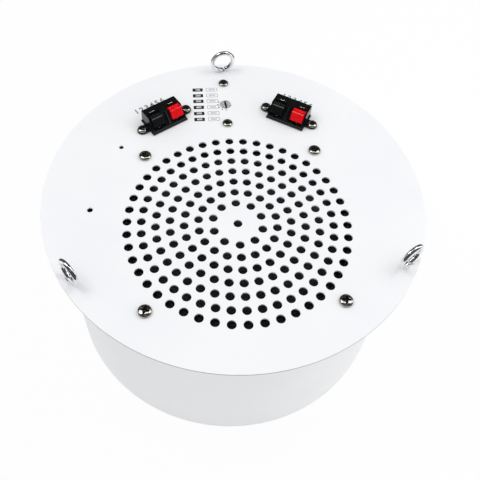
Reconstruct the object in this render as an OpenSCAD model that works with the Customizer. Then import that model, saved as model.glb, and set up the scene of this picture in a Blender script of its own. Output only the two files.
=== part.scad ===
// Upward-facing loudspeaker in a round steel back can, hung by three eyebolts.
// Millimetres. Origin at the centre of the can's base, +Z up, +Y towards the rear eyebolt.

/* [Back can] */
// Distance that the plate reaches past the can's wall, all round
plate_overhang = 11.05; // [10.6:0.05:12.5]
// Height of the can, from its base to the top of its flange
can_h = 141.9; // [135:0.1:170]
// Thickness of the can's steel
can_wall = 1.2; // [0.8:0.1:2]
// Outer radius where the wall turns into the base
can_base_r = 5; // [3:0.5:12]
// Width of the turned-out flange under the plate
flange_w = 9.5; // [8.5:0.1:10.5]
// Radius inside the bend between wall and flange
flange_bend_r = 0.5; // [0.3:0.1:0.6]

/* [Front plate] */
// Diameter of the round plate
plate_d = 292.1; // [291:0.1:310]
// Thickness of the plate's steel
plate_t = 1.5; // [1:0.1:2.5]
// Diameter of the spare hole beside the grille
spare_hole_d = 4.4; // [3:0.1:6]
// Diameter of the spare hole nearer the left terminal
spare_hole_2_d = 3.8; // [3:0.1:6]

/* [Grille] */
// Diameter of each grille hole
hole_d = 6.7; // [4:0.05:7]
// Radius of the first ring of holes
ring_first = 18.9; // [17:0.1:20]
// Distance from one ring of holes to the next
ring_pitch = 10.51; // [9.5:0.01:10.6]

/* [Driver] */
// Depth of the bay behind the driver, which holds the terminals and the transformer
bay_depth = 63.25; // [62:0.05:66]
// Distance from the driver's frame to the can's wall at the front
driver_edge_gap = 3.55; // [2.5:0.05:5]
// Distance of the driver screws from the frame's round edge
driver_screw_inset = 4.75; // [4.6:0.05:5.2]
// Depth of the four flats cut off the frame's round edge
frame_flat_cut = 6.6; // [6:0.1:8]
// Width of the frame's rim, from its round edge to the surround
rim_land = 15.6; // [15:0.1:17]
// Thickness of the frame's pressed steel
frame_sheet = 1; // [0.8:0.1:1.4]
// Depth of the basket, from the rim's face to the motor
basket_depth = 50; // [46:0.5:58]
// Thickness of the gasket between plate and rim
gasket_t = 3; // [2.6:0.1:5]
// Width of the surround between the cone's edge and the rim
surround_w = 7; // [6:0.5:9]
// Depth of the cone
cone_depth = 29.4; // [26:0.2:30]
// Outer diameter of the voice coil's former
coil_d = 25.5; // [24:0.1:27]
// Diameter of the ring magnet
magnet_d = 80; // [76:1:90]
// Thickness of the ring magnet
magnet_t = 14; // [10:0.5:20]

/* [Eyebolts] */
// Distance of the eyebolts from the plate's edge
eyebolt_inset = 6.85; // [6.5:0.05:6.95]
// Outer diameter of an eye
eye_d = 21.6; // [19:0.1:24]
// Diameter of an eye's wire
eye_wire = 3.6; // [3:0.1:4]
// Diameter of an eyebolt's thread
eyebolt_d = 4; // [3.8:0.1:4.2]
// Length of an eyebolt's shank below its eye
eyebolt_len = 15; // [13:0.5:20]

/* [Screws] */
// Thread of the driver screws
driver_screw_d = 4.8; // [4:0.1:5]
// Thread of the transformer screws
trafo_screw_d = 4.2; // [3.5:0.1:4.4]
// Thread of the terminal screws
term_screw_d = 3.5; // [3:0.1:3.8]

/* [Transformer and tap switch] */
// Distance between the transformer's two screws
trafo_pitch = 48.5; // [47.5:0.5:52]
// Length of the core's laminations; every other core size follows from it
core_len = 38.1; // [36:0.1:38.4]
// Height of the stack of laminations
core_stack = 16; // [12:0.5:20]
// Space between the plate and the core, for the tap switch
switch_space = 15.4; // [15:0.1:20]
// Diameter of the tap switch's slotted head
tap_head_d = 9.2; // [8:0.1:10]
// Angle of the slot, turned left from the +Y direction
tap_set = 7; // [0:1:12]

/* [Push terminals] */
// Distance of each terminal from the middle
term_x = 52.5; // [50:0.5:56]
// Distance of the terminals behind the driver's frame
term_gap = 5.95; // [5:0.05:8]
// Angle of each terminal's long side
term_turn = 31.5; // [26:0.5:34]
// Distance between a terminal's two screws
term_pitch = 42.8; // [42:0.1:45]
// Height of a terminal above the plate
term_h = 12.2; // [11.8:0.1:14]
// Width of a push lever
lever_w = 10.6; // [9:0.1:10.8]

/* [Hidden] */

$fn = 96;
small_fn = 32;
grille_fn = 16;
eps = 0.01;
// Clearance of a moving piece beside its neighbour
gap = 0.3;
// Clearance of a screw in its hole, on the diameter
screw_gap = 0.5;
// Radial clearance of a shaft in its bore
run_gap = 0.06;

// Can, and the bay that starts behind the driver's frame
can_d = plate_d - 2 * plate_overhang;
can_r = can_d / 2;
bay_front = can_r - bay_depth;
eyebolt_circle = plate_d - 2 * eyebolt_inset;

// Levels of the plate
plate_under = can_h;
plate_top = can_h + plate_t;

// Distance of each spare hole from the plate's edge, and its direction
spare_hole_inset = 36;
spare_hole_angle = 186.3;
spare_hole_2_inset = 45.35;
spare_hole_2_angle = 150.6;
// Direction and turn of each eyebolt: rear, left and right
eyebolt_at = [90, 210, 330];
eyebolt_turn = [11, 9, -24];
eyebolt_nut_af = 7;
eyebolt_nut_h = 3.2;

// Driver, in levels below the rim's face
rim_top = plate_under - gasket_t;
frame_d = can_d - driver_edge_gap - bay_depth;
frame_flat = frame_d - 2 * frame_flat_cut;
driver_circle = frame_d - 2 * driver_screw_inset;
rim_r = frame_d / 2 - rim_land;
surround_t = 0.5;
cone_r = rim_r - surround_w;
rim_lip_w = 6;
cone_lip_w = 3.5;
cone_t = 0.8;
cone_steps = 10;
cone_edge_z = -1.6;
coil_r = coil_d / 2;
former_t = 0.25;
winding_t = 0.4;
winding_len = 9;
neck_r = coil_r + cone_t;
neck_h = 3;
top_plate_t = 5;
back_plate_t = 5;
motor_plate_r = magnet_d / 2 - 4;
ledge_lift = 11;
ledge_run = 41;
ledge_w = 8;
ledge_depth = basket_depth - ledge_lift;
ledge_in = rim_r - ledge_run;
ledge_out = ledge_in + ledge_w;
basket_hole_r = 20;
basket_legs = 8;
leg_w = 13;
spider_t = 0.5;
spider_waves = 5;
cap_r = 21;
cap_h = 6;
cap_t = 0.6;
cap_foot = 1.2;
driver_nut_af = 8.7;
driver_nut_h = 3.3;
driver_head_d = 9.9;
driver_head_h = 3;
driver_screw_len = 13;
tag_x = 7;
board_size = [24, 20, 2];

// Grille, centred on the driver: holes in each ring, from the inside out, as far as the surround
grille_offset = can_r - frame_d / 2 - driver_edge_gap;
ring_holes = [for (n = [[0, 10], [1, 18], [2, 24], [3, 30], [4, 36], [5, 42], [6, 46]])
    if (ring_first + n[0] * ring_pitch + hole_d / 2 < rim_r) n[1]];

// Transformer: the core's window, limbs and yokes are set by its length
core_unit = core_len / 6;
core_h = 5 * core_unit;
trafo_rear = 38.75;
trafo_y = can_r - trafo_rear;
bracket_t = 1;
bracket_w = 14;
foot_end = 4.5;
bobbin_t = 1;
winding_out = 4.7;
trafo_head_d = 8.4;
trafo_head_h = 2.5;
trafo_nut_af = 7.9;
trafo_nut_h = 3;
trafo_screw_len = 8;
crimp_len = 5;
crimp_w = 8;

// Tap switch, hung under a bridge between the bracket's legs
switch_ahead = 1.45;
switch_y = trafo_y - switch_ahead;
bridge_drop = 6;
switch_d = 21;
switch_h = 7;
bushing_d = 7;
bushing_h = 4.4;
switch_nut_af = 9.6;
switch_nut_h = 1.8;
tap_stem_d = 4;
tap_proud = 0.5;
tap_slot_w = 1.5;
tap_slot_depth = 2.6;
tap_head_h = 3.6;
tap_tags = 7;

// Push terminal: u runs along it, v to its rear and w up from the plate
term_y = bay_front + term_gap;
base_u = 33.2;
base_v = 20;
base_w = 1.6;
body_u = 31.6;
ear_r = 4.3;
rear_v = 9.8;
break_v = -1;
front_v = -9.5;
front_w = 3;
below_w = 5;
below_u = 27;
below_v = 16.4;
lever_u = 9;
pivot_v = 0.6;
pivot_w = term_h - 1.8;
hub_r = 1.5;
trunnion_r = 1;
trunnion_len = 1.2;
ridge_r = 0.42;
pocket_rear_v = 2.6;
pocket_front_v = -8.3;
pocket_floor_w = 1.2;
slot_v = 4.9;
contact_t = 0.5;
contact_w = 4.6;
contact_bend_r = 0.75;
contact_sunk = 0.2;
tongue_w = 2.4;
tongue_top = 3.8;
arm_v = -6.5;
arm_w = 2.4;
tag_w = -14;
wire_hole_r = 1.4;
rib_r = 1.2;
term_head_d = 7.9;
term_head_h = 2.3;
term_nut_af = 7;
term_nut_h = 2.6;
term_screw_len = 9;

// Points along an arc
function arc(c, r, from, to, n = 6) =
    [for (i = [0:n]) let (a = from + (to - from) * i / n) [c[0] + r * cos(a), c[1] + r * sin(a)]];

// Height of the cone's curve at a radius, the cone's section from its neck to its lip, and its upper face
function cone_z(r) =
    cone_edge_z - cone_depth * pow((cone_r - cone_lip_w - r) / (cone_r - cone_lip_w - neck_r), 0.9);
cone_section = [for (i = [0:cone_steps]) let (r = neck_r + (cone_r - cone_lip_w - neck_r) * i / cone_steps)
    [r, cone_z(r)]];
function cone_face(r) = lookup(r, cone_section);

// Outline of a thin sheet whose middle follows the points in m
function sheet(m, t) = concat([for (p = m) [p[0], p[1] + t / 2]],
                              [for (i = [len(m) - 1:-1:0]) [m[i][0], m[i][1] - t / 2]]);

module at_driver() translate([0, -grille_offset, rim_top]) children();
module at_driver_screws() for (a = [45:90:315]) rotate(a) translate([driver_circle / 2, 0, 0]) children();
module at_eyebolt(i) rotate(eyebolt_at[i]) translate([eyebolt_circle / 2, 0, plate_top]) children();
module at_trafo_screws() for (s = [-1, 1]) translate([0, trafo_y + s * trafo_pitch / 2, 0]) children();
module at_switch() translate([0, switch_y, plate_under]) children();
// side is -1 for the left terminal and 1 for the right one
module at_terminal(side) translate([side * term_x, term_y, plate_top]) rotate(-side * term_turn) children();
module at_term_screws() for (s = [-1, 1]) translate([s * term_pitch / 2, 0, 0]) children();
// Extrudes a profile drawn in v and w along u, centred on the terminal
module along_u(width) rotate([90, 0, 90]) translate([0, 0, -width / 2]) linear_extrude(width) children();

// Pan head screw with a cross recess; its head stands on z = 0
module pan_screw(d, head_d, head_h, length) {
    edge = 0.3 * head_h;
    difference() {
        union() {
            rotate_extrude($fn = small_fn)
                polygon(concat([[0, 0], [head_d / 2, 0], [head_d / 2, edge]],
                               [for (i = [1:5]) let (a = 18 * i)
                                [head_d / 2 * cos(a), edge + (head_h - edge) * sin(a)]]));
            translate([0, 0, -length]) cylinder(d = d, h = length + eps, $fn = small_fn);
        }
        for (a = [0, 90]) rotate(a)
            translate([-0.27 * head_d, -0.065 * head_d, 0.4 * head_h])
                cube([0.54 * head_d, 0.13 * head_d, head_h]);
    }
}

// Hexagon nut; its seat is at z = 0 and it hangs below
module nut(af, d, h) {
    translate([0, 0, -h]) difference() {
        cylinder(d = af / cos(30), h = h, $fn = 6);
        translate([0, 0, -1]) cylinder(d = d, h = h + 2, $fn = small_fn);
    }
}

module back_can() {
    r = can_r;
    flange_r = r + flange_w;
    bend = flange_bend_r;
    color("whitesmoke") difference() {
        rotate_extrude($fn = 160) polygon(concat(
            [[0, 0]],
            arc([r - can_base_r, can_base_r], can_base_r, -90, 0),
            arc([r + bend, can_h - can_wall - bend], bend, 180, 90, 4),
            [[flange_r, can_h - can_wall], [flange_r, can_h]],
            arc([r + bend, can_h - can_wall - bend], bend + can_wall, 90, 180, 4),
            arc([r - can_base_r, can_base_r], can_base_r - can_wall, 0, -90),
            [[0, can_wall]]));
        for (i = [0:2]) rotate(eyebolt_at[i]) translate([eyebolt_circle / 2, 0, can_h - 2 * can_wall])
            cylinder(d = eyebolt_d + screw_gap, h = 3 * can_wall, $fn = small_fn);
    }
}

module grille_holes() {
    circle(d = hole_d, $fn = grille_fn);
    for (k = [0:len(ring_holes) - 1], i = [0:ring_holes[k] - 1])
        rotate(90 + 360 * i / ring_holes[k]) translate([ring_first + k * ring_pitch, 0])
            circle(d = hole_d, $fn = grille_fn);
}

module front_plate() {
    color("white") translate([0, 0, plate_under]) linear_extrude(plate_t) difference() {
        circle(d = plate_d, $fn = 180);
        translate([0, -grille_offset]) {
            grille_holes();
            at_driver_screws() circle(d = driver_screw_d + screw_gap, $fn = small_fn);
        }
        for (a = eyebolt_at) rotate(a) translate([eyebolt_circle / 2, 0])
            circle(d = eyebolt_d + screw_gap, $fn = small_fn);
        at_trafo_screws() circle(d = trafo_screw_d + screw_gap, $fn = small_fn);
        translate([0, switch_y]) circle(d = tap_head_d + 2 * gap, $fn = small_fn);
        for (side = [-1, 1]) translate([side * term_x, term_y]) rotate(-side * term_turn) {
            square([below_u + 2 * gap, below_v + 2 * gap], center = true);
            at_term_screws() circle(d = term_screw_d + screw_gap, $fn = small_fn);
        }
        rotate(spare_hole_angle) translate([plate_d / 2 - spare_hole_inset, 0])
            circle(d = spare_hole_d, $fn = small_fn);
        rotate(spare_hole_2_angle) translate([plate_d / 2 - spare_hole_2_inset, 0])
            circle(d = spare_hole_2_d, $fn = small_fn);
    }
}

// Eyebolt bent from one wire: an eye whose free end stops short of the shank
module eyebolt(i) {
    ring_r = (eye_d - eye_wire) / 2;
    eye_z = eye_d / 2 + 0.3;
    color("silver") at_eyebolt(i) rotate(90 + eyebolt_turn[i]) {
        difference() {
            translate([0, 0, eye_z]) rotate([90, 0, 0]) rotate_extrude($fn = 64)
                translate([ring_r, 0]) circle(d = eye_wire, $fn = 24);
            translate([0, 0, eye_z]) rotate([0, -14, 0])
                translate([-0.3, -eye_wire, -eye_d]) cube([0.6, 2 * eye_wire, eye_d - eye_wire]);
        }
        translate([0, 0, -eyebolt_len]) cylinder(d = eyebolt_d, h = eyebolt_len + eye_wire / 2, $fn = small_fn);
    }
}

module eyebolt_rear() eyebolt(0);
module eyebolt_left() eyebolt(1);
module eyebolt_right() eyebolt(2);

module eyebolt_nuts() {
    color("gainsboro") for (i = [0:2])
        at_eyebolt(i) translate([0, 0, -plate_t - can_wall]) rotate(30)
            nut(eyebolt_nut_af, eyebolt_d, eyebolt_nut_h);
}

// Outline of the driver's rim: a round frame cut by four flat sides
module rim_outline() intersection() {
    circle(d = frame_d, $fn = 128);
    square(frame_flat, center = true);
}

module driver_frame() {
    s = frame_sheet;
    color("dimgray") at_driver() difference() {
        union() {
            rotate_extrude($fn = 128) polygon([
                [rim_r, 0], [rim_r - 1, -7], [ledge_out, -ledge_depth], [ledge_in, -ledge_depth],
                [ledge_in, s - basket_depth], [basket_hole_r, s - basket_depth],
                [basket_hole_r, -basket_depth], [ledge_in + s, -basket_depth],
                [ledge_in + s, -ledge_depth - s], [ledge_out + 0.4 * s, -ledge_depth - s],
                [rim_r + 0.2 * s, -7.5], [rim_r + s, -s], [rim_r + s, 0]]);
            translate([0, 0, -s]) linear_extrude(s) difference() {
                rim_outline();
                circle(r = rim_r, $fn = 128);
            }
        }
        translate([0, 0, -ledge_depth - 2 * s]) linear_extrude(ledge_depth + 2 * s - 6) difference() {
            circle(r = rim_r - 5);
            circle(r = ledge_out + 5);
            for (i = [0:basket_legs / 2 - 1]) rotate((i + 0.5) * 360 / basket_legs)
                square([2 * rim_r, leg_w], center = true);
        }
        at_driver_screws() translate([0, 0, -2 * s])
            cylinder(d = driver_screw_d + screw_gap, h = 3 * s, $fn = small_fn);
    }
}

// Gasket cut to the rim, with a rebate that holds the surround's lip
module driver_gasket() {
    color("black") at_driver() difference() {
        linear_extrude(gasket_t) difference() {
            rim_outline();
            circle(r = rim_r, $fn = 128);
            at_driver_screws() circle(d = driver_screw_d + screw_gap, $fn = small_fn);
        }
        translate([0, 0, -1]) cylinder(r = rim_r + rim_lip_w, h = 1 + surround_t, $fn = 128);
    }
}

module motor_top_plate() {
    color("silver") at_driver() translate([0, 0, -basket_depth - top_plate_t]) difference() {
        cylinder(r = motor_plate_r, h = top_plate_t);
        translate([0, 0, -1]) cylinder(r = coil_r + winding_t + gap, h = top_plate_t + 2);
    }
}

module ring_magnet() {
    color("darkslategray") at_driver()
        translate([0, 0, -basket_depth - top_plate_t - magnet_t]) difference() {
            cylinder(d = magnet_d, h = magnet_t);
            translate([0, 0, -1]) cylinder(r = magnet_d / 4, h = magnet_t + 2);
        }
}

module pole_piece() {
    bottom = -basket_depth - top_plate_t - magnet_t - back_plate_t;
    color("silver") at_driver() translate([0, 0, bottom]) {
        cylinder(r = motor_plate_r, h = back_plate_t);
        cylinder(r = coil_r - former_t - gap, h = back_plate_t + magnet_t + top_plate_t);
    }
}

module cone() {
    color("#2b2b2b") at_driver() rotate_extrude($fn = 128) polygon(concat(
        [[coil_r, cone_z(neck_r)]],
        cone_section,
        [[cone_r, cone_edge_z], [cone_r, cone_edge_z - cone_t]],
        [for (i = [cone_steps:-1:0]) cone_section[i] + [0.2, -cone_t - 0.2]],
        [[neck_r, cone_z(neck_r) - neck_h], [coil_r, cone_z(neck_r) - neck_h]]));
}

// Domed cap on a bevelled foot that is glued to the cone's face
module dust_cap() {
    foot_r = cap_r - cap_foot;
    ball = (cap_r * cap_r + cap_h * cap_h) / (2 * cap_h);
    centre = cone_face(cap_r) + cap_h - ball;
    top = [for (i = [0:8]) let (a = asin(foot_r / ball) * i / 8) [ball * sin(a), centre + ball * cos(a)]];
    color("#202020") at_driver() rotate_extrude() polygon(concat(
        [for (p = top) [p[0], p[1] - cap_t]],
        [[foot_r, cone_face(foot_r)], [cap_r, cone_face(cap_r)]],
        [for (i = [8:-1:0]) top[i]]));
}

// Pleated surround glued to the cone's lip inside and to the rim outside
module surround() {
    steps = 24;
    from = cone_r + 0.2;
    to = rim_r - 0.4;
    low = cone_edge_z + surround_t / 2;
    high = surround_t / 2;
    color("#151515") at_driver() rotate_extrude($fn = 128) polygon(sheet(concat(
        [[cone_r - cone_lip_w + 0.3, low]],
        [for (i = [0:steps]) let (k = i / steps)
         [from + (to - from) * k, low + (high - low) * k + 0.9 * sin(720 * k)]],
        [[rim_r + rim_lip_w - 0.2, high]]), surround_t));
}

// Corrugated centring disc between the former and the basket's ledge
module spider() {
    steps = 10 * spider_waves;
    from = coil_r + 1.5;
    to = ledge_in - 0.5;
    level = spider_t / 2 - ledge_depth;
    color("peru") at_driver() rotate_extrude($fn = 128) polygon(sheet(concat(
        [[coil_r, level]],
        [for (i = [0:steps]) let (k = i / steps)
         [from + (to - from) * k, level + sin(360 * spider_waves * k)]],
        [[ledge_out - 1, level]]), spider_t));
}

module tube(r_in, r_out, z_low, z_high) translate([0, 0, z_low]) difference() {
    cylinder(r = r_out, h = z_high - z_low);
    translate([0, 0, -1]) cylinder(r = r_in, h = z_high - z_low + 2);
}

module coil_former() {
    middle = -basket_depth - top_plate_t / 2;
    color("khaki") at_driver()
        tube(coil_r - former_t, coil_r, middle - winding_len / 2 - 1.5, cone_z(neck_r) + 1);
}

module voice_coil() {
    middle = -basket_depth - top_plate_t / 2;
    color("chocolate") at_driver()
        tube(coil_r, coil_r + winding_t, middle - winding_len / 2, middle + winding_len / 2);
}

// Board for the driver's two tags, riveted under the basket's ledge
module tag_board() {
    color("saddlebrown") at_driver()
        translate([-board_size[0] / 2, ledge_in + 2, -ledge_depth - frame_sheet - board_size[2]])
            cube(board_size);
}

module driver_tags() {
    color("gold") at_driver() for (s = [-1, 1])
        translate([s * tag_x, ledge_out + 4, -ledge_depth - frame_sheet]) {
            translate([-1.6, 0, 0]) cube([3.2, 8, 0.6]);
            translate([-1.6, 7.4, 0]) cube([3.2, 0.6, 6]);
        }
}

module driver_screws() {
    color("gray") translate([0, -grille_offset, plate_top]) at_driver_screws()
        rotate(20) pan_screw(driver_screw_d, driver_head_d, driver_head_h, driver_screw_len);
}

module driver_nuts() {
    color("gray") at_driver() translate([0, 0, -frame_sheet]) at_driver_screws()
        rotate(30) nut(driver_nut_af, driver_screw_d, driver_nut_h);
}

// Stack of E and I laminations round two windows
module transformer_core() {
    color("#6b6b70") translate([0, trafo_y, plate_under - switch_space - core_h]) difference() {
        translate([-core_stack / 2, -core_len / 2, 0]) cube([core_stack, core_len, core_h]);
        for (s = [-1, 1]) translate([-core_stack / 2 - 1, s * 1.5 * core_unit - core_unit / 2, core_unit])
            cube([core_stack + 2, core_unit, 3 * core_unit]);
    }
}

module at_limb() translate([0, trafo_y, plate_under - switch_space - 2.5 * core_unit]) children();

module block(size) cube(size, center = true);

module transformer_bobbin() {
    h = 3 * core_unit - 0.2;
    limb = [core_stack, 2 * core_unit];
    out = [core_stack + 2 * (bobbin_t + winding_out + 0.5), 4 * core_unit - 0.2];
    color("ivory") at_limb() difference() {
        union() {
            block([limb[0] + 2 * bobbin_t, limb[1] + 2 * bobbin_t, h]);
            for (s = [-1, 1]) translate([0, 0, s * (h - bobbin_t) / 2]) block([out[0], out[1], bobbin_t]);
        }
        block([limb[0], limb[1], h + 1]);
    }
}

module transformer_winding() {
    h = 3 * core_unit - 0.2 - 2 * bobbin_t;
    inner = [core_stack + 2 * bobbin_t, 2 * core_unit + 2 * bobbin_t];
    out = [inner[0] + 2 * winding_out, 4 * core_unit - 0.8];
    round_r = 3;
    color("darkgoldenrod") at_limb() difference() {
        union() {
            block([out[0] - 2 * round_r, out[1], h]);
            block([out[0], out[1] - 2 * round_r, h]);
            for (x = [-1, 1], y = [-1, 1])
                translate([x * (out[0] / 2 - round_r), y * (out[1] / 2 - round_r), -h / 2])
                    cylinder(r = round_r, h = h, $fn = small_fn);
        }
        block([inner[0], inner[1], h + 1]);
    }
}

// Channel bracket: two feet on the plate, legs beside the core, a web under it and four crimped ears
module transformer_bracket() {
    t = bracket_t;
    leg = core_len / 2;
    foot = trafo_pitch / 2 + foot_end;
    drop = switch_space + core_h;
    color("gainsboro") translate([0, trafo_y, plate_under]) difference() {
        union() {
            translate([-bracket_w / 2, -leg - t, -drop - t]) cube([bracket_w, 2 * (leg + t), t]);
            for (s = [-1, 1]) scale([1, s, 1]) {
                translate([-bracket_w / 2, leg, -drop - t]) cube([bracket_w, t, drop + t]);
                translate([-bracket_w / 2, leg, -t]) cube([bracket_w, foot - leg, t]);
                translate([-crimp_w / 2, leg - crimp_len, -switch_space]) cube([crimp_w, crimp_len + t, t]);
            }
        }
        for (s = [-1, 1]) translate([0, s * trafo_pitch / 2, -2 * t])
            cylinder(d = trafo_screw_d + screw_gap, h = 3 * t, $fn = small_fn);
    }
}

module transformer_screws() {
    color("gray") translate([0, 0, plate_top]) at_trafo_screws()
        rotate(35) pan_screw(trafo_screw_d, trafo_head_d, trafo_head_h, trafo_screw_len);
}

module transformer_nuts() {
    color("gray") translate([0, 0, plate_under - bracket_t]) at_trafo_screws()
        nut(trafo_nut_af, trafo_screw_d, trafo_nut_h);
}

// Strip between the bracket's legs that carries the tap switch
module switch_bridge() {
    color("gainsboro") translate([0, 0, plate_under - bridge_drop - bracket_t]) difference() {
        translate([-bracket_w / 2, trafo_y - core_len / 2, 0]) cube([bracket_w, core_len, bracket_t]);
        translate([0, switch_y, -1]) cylinder(d = bushing_d + screw_gap, h = bracket_t + 2, $fn = small_fn);
    }
}

module tap_switch() {
    seat = -bridge_drop - bracket_t;
    color("darkgreen") at_switch() difference() {
        union() {
            translate([0, 0, seat - switch_h]) cylinder(d = switch_d, h = switch_h, $fn = 64);
            translate([0, 0, seat]) cylinder(d = bushing_d, h = bushing_h, $fn = small_fn);
        }
        translate([0, 0, seat - switch_h + 1])
            cylinder(d = tap_stem_d + 2 * run_gap, h = switch_h + bushing_h, $fn = small_fn);
    }
}

module switch_nut() {
    color("silver") at_switch() translate([0, 0, -bridge_drop + switch_nut_h])
        nut(switch_nut_af, bushing_d, switch_nut_h);
}

module switch_tags() {
    color("gold") at_switch() translate([0, 0, -bridge_drop - bracket_t - switch_h + 1])
        for (i = [0:tap_tags - 1]) rotate(360 * i / tap_tags)
            translate([switch_d / 2, -1, 0]) cube([4.5, 2, 0.5]);
}

// Slotted shaft that a screwdriver turns from above the plate
module tap_shaft() {
    top = plate_t + tap_proud;
    foot = -bridge_drop - bracket_t - switch_h + 1 + gap;
    color("darkgray") at_switch() rotate(tap_set) difference() {
        union() {
            translate([0, 0, top - tap_head_h]) cylinder(d = tap_head_d, h = tap_head_h, $fn = 48);
            translate([0, 0, foot]) cylinder(d = tap_stem_d, h = top - tap_head_h - foot + eps, $fn = small_fn);
        }
        translate([-tap_slot_w / 2, -tap_head_d, top - tap_slot_depth])
            cube([tap_slot_w, 2 * tap_head_d, 2 * tap_slot_depth]);
    }
}

// Moulded housing of a push terminal: base with ears, sloped body, two lever pockets and wire entries
module terminal_housing(side) {
    wall = body_u / 2;
    pocket_w = lever_w + 2 * gap;
    color("#1c1c1c") at_terminal(side) difference() {
        union() {
            translate([0, 0, base_w / 2]) block([base_u, base_v, base_w]);
            linear_extrude(base_w) union() {
                at_term_screws() circle(r = ear_r, $fn = small_fn);
                square([term_pitch, 2 * ear_r], center = true);
            }
            along_u(body_u) polygon([[rear_v, 0], [rear_v, term_h], [break_v, term_h],
                                     [front_v, front_w], [front_v, 0]]);
            translate([0, 0, -below_w / 2]) block([below_u, below_v, below_w]);
            // Raised rib between the two levers
            translate([0, break_v, term_h - 0.3]) rotate([90 + atan2(term_h - front_w, break_v - front_v), 0, 0])
                cylinder(r = rib_r, h = norm([break_v - front_v, term_h - front_w]) - 1, $fn = small_fn);
        }
        for (s = [-1, 1]) translate([s * lever_u, 0, 0]) {
            along_u(pocket_w) polygon([[pocket_rear_v, pocket_floor_w], [pocket_rear_v, term_h + 5],
                                       [front_v - 5, term_h + 5], [front_v - 5, term_h - 2],
                                       [pocket_front_v, front_w + 1.4], [pocket_front_v, pocket_floor_w]]);
            // Slots for the contact's rear leg and front arm, and the round wire entry in the lip
            translate([0, slot_v, term_h / 2]) block([contact_w + 1, 2 * contact_bend_r + gap, 2 * term_h + 12]);
            translate([0, arm_v, 0]) block([contact_w + 0.4, contact_t + 0.3, 12]);
            translate([0, pocket_front_v - 0.4, front_w + 1.1]) rotate([48, 0, 0])
                cylinder(r = wire_hole_r, h = 6, center = true, $fn = small_fn);
            translate([0, pivot_v, pivot_w]) rotate([0, 90, 0])
                cylinder(r = trunnion_r + run_gap, h = lever_w + 2 * trunnion_len + 0.2, center = true,
                         $fn = small_fn);
        }
        at_term_screws() translate([0, 0, -1]) cylinder(d = term_screw_d + screw_gap, h = base_w + 2, $fn = small_fn);
    }
}

module terminal_left() terminal_housing(-1);
module terminal_right() terminal_housing(1);

// Push lever: a sloped cap with three grip ridges, on two trunnions
module lever(side, place, tint) {
    nose = [-4.5, term_h - 0.2];
    toe = [-7.8, 5.8];
    color(tint) at_terminal(side) translate([place * lever_u, 0, 0]) {
        along_u(lever_w) union() {
            translate([pivot_v, pivot_w]) circle(r = hub_r, $fn = small_fn);
            polygon([[pivot_v, pivot_w + hub_r], [nose[0] + 0.9, term_h + 0.2], nose, toe,
                     [toe[0] + 1.2, toe[1] - 0.6], [nose[0] + 0.9, term_h - 2], [pivot_v, pivot_w - hub_r]]);
        }
        for (s = [-1, 1]) translate([s * (lever_w / 2 - 0.5), 0, 0]) along_u(1)
            polygon([[pivot_v, pivot_w], nose, toe, [toe[0] + 1.2, toe[1] - 0.6], [pivot_v - 2.4, pivot_w - 3.6]]);
        translate([0, pivot_v, pivot_w]) rotate([0, 90, 0])
            cylinder(r = trunnion_r, h = lever_w + 2 * (trunnion_len - 0.1), center = true, $fn = small_fn);
        for (i = [0:2]) translate([0, nose[0] + 1.1 + 1.2 * i, term_h + 0.14 - 0.08 * i]) rotate([0, 90, 0])
            cylinder(r = ridge_r, h = lever_w - 0.8, center = true, $fn = 16);
    }
}

module lever_left_black() lever(-1, -1, "#222222");
module lever_left_red() lever(-1, 1, "red");
module lever_right_black() lever(1, -1, "#222222");
module lever_right_red() lever(1, 1, "red");

// Spring contact: a solder tag and rear leg bent over in the top slot, a flat foot under the housing, and an arm
// whose tongue stands behind the wire entry
module contact(side, place) {
    t = contact_t;
    leg_v = slot_v + contact_bend_r - t;
    bend_w = term_h - contact_sunk - contact_bend_r;
    color("silver") at_terminal(side) translate([place * lever_u, 0, 0]) {
        along_u(contact_w) union() {
            translate([leg_v, tag_w]) square([t, bend_w - tag_w]);
            translate([slot_v, bend_w]) intersection() {
                difference() {
                    circle(r = contact_bend_r, $fn = small_fn);
                    circle(r = contact_bend_r - t, $fn = small_fn);
                }
                translate([-contact_bend_r, 0]) square([2 * contact_bend_r, contact_bend_r]);
            }
            translate([slot_v - contact_bend_r, bend_w - 1]) square([t, 1]);
            translate([arm_v - t / 2, -below_w - t]) square([leg_v + t / 2 - arm_v, t]);
            translate([arm_v - t / 2, -below_w - t]) square([t, below_w + t + arm_w]);
        }
        along_u(tongue_w) translate([arm_v, 0]) union() {
            translate([-t / 2, arm_w - 1]) square([t, tongue_top - t / 2 - arm_w + 1]);
            translate([0, tongue_top - t / 2]) circle(d = t, $fn = small_fn);
        }
    }
}

module contact_left_black() contact(-1, -1);
module contact_left_red() contact(-1, 1);
module contact_right_black() contact(1, -1);
module contact_right_red() contact(1, 1);

module terminal_screws() {
    color("gray") for (side = [-1, 1]) at_terminal(side) at_term_screws() translate([0, 0, base_w])
        rotate(15) pan_screw(term_screw_d, term_head_d, term_head_h, term_screw_len);
}

module terminal_nuts() {
    color("gray") for (side = [-1, 1]) at_terminal(side) at_term_screws() translate([0, 0, -plate_t])
        nut(term_nut_af, term_screw_d, term_nut_h);
}

back_can();
front_plate();
eyebolt_rear();
eyebolt_left();
eyebolt_right();
eyebolt_nuts();
driver_frame();
driver_gasket();
motor_top_plate();
ring_magnet();
pole_piece();
cone();
dust_cap();
surround();
spider();
coil_former();
voice_coil();
tag_board();
driver_tags();
driver_screws();
driver_nuts();
transformer_core();
transformer_bobbin();
transformer_winding();
transformer_bracket();
transformer_screws();
transformer_nuts();
switch_bridge();
tap_switch();
switch_nut();
switch_tags();
tap_shaft();
terminal_left();
terminal_right();
lever_left_black();
lever_left_red();
lever_right_black();
lever_right_red();
contact_left_black();
contact_left_red();
contact_right_black();
contact_right_red();
terminal_screws();
terminal_nuts();
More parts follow.
